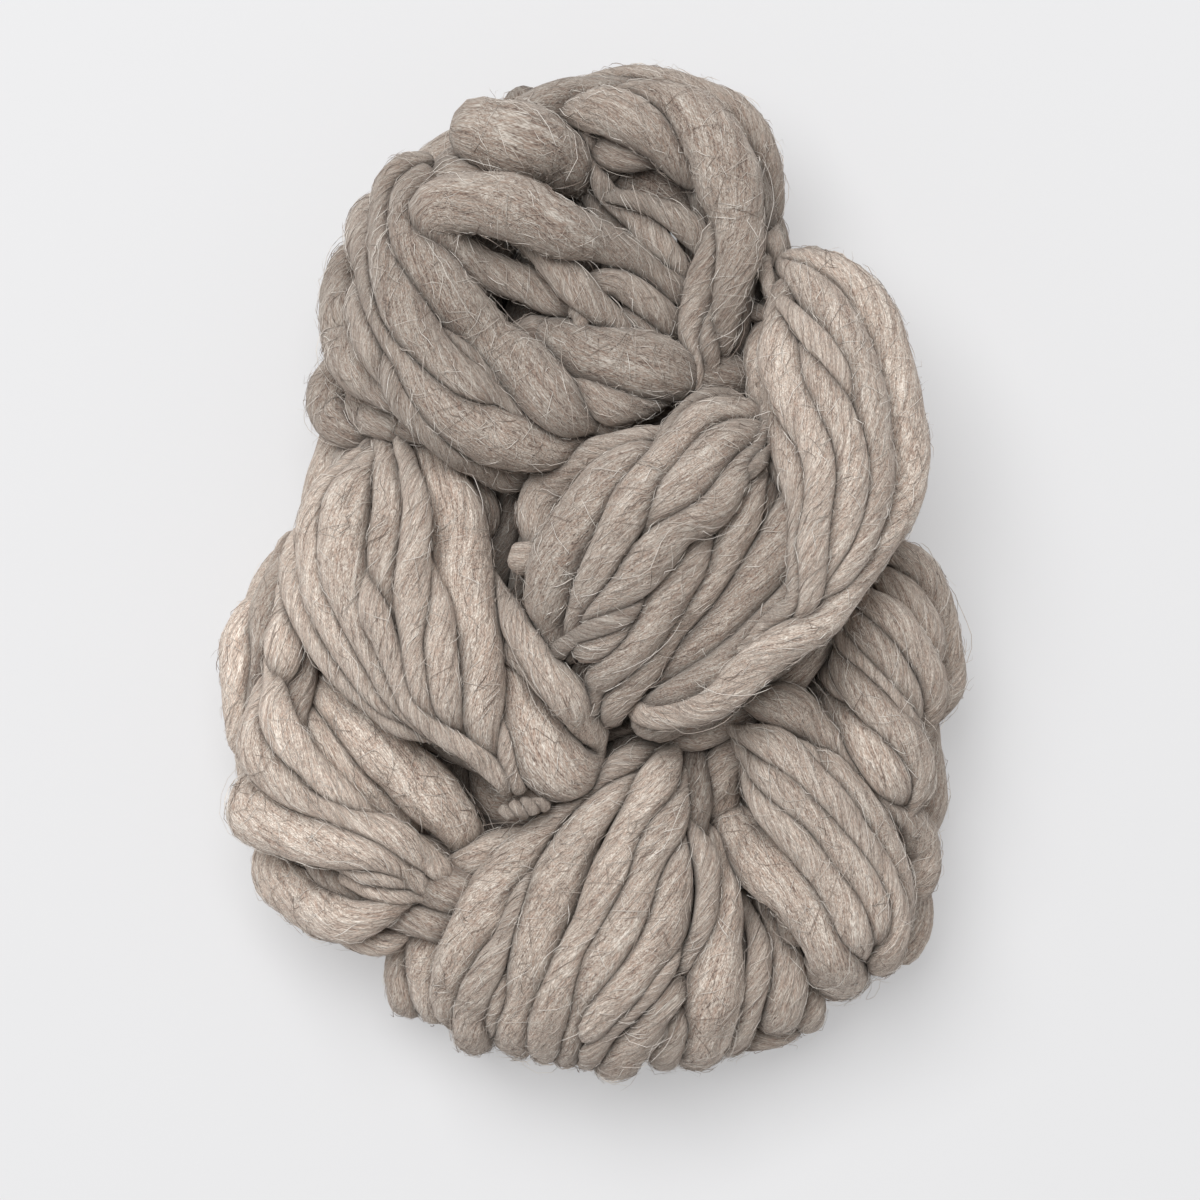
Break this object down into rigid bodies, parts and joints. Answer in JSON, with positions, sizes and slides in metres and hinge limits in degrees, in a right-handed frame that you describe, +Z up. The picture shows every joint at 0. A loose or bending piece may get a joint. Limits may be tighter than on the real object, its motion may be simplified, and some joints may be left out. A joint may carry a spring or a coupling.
{
  "type": "hank of art yarn",
  "caption": "Twisted and folded hank of very thick, thick-and-thin wool yarn, fluffy and undyed grey-brown, lying flat on its underside.",
  "frame": {"origin": "on the table, at the middle of the flat underside of the hank", "axes": "+Z up from the table, +Y along the length of the hank towards the small end that is coiled over, +X to the right as seen from above"},
  "size_m": [0.1776, 0.2418, 0.092],
  "materials": {
    "yarn": "matt, fibrous, undyed grey-brown wool"
  },
  "bodies": {
    "root": {"hank": "yarn"}
  },
  "joints": []
}
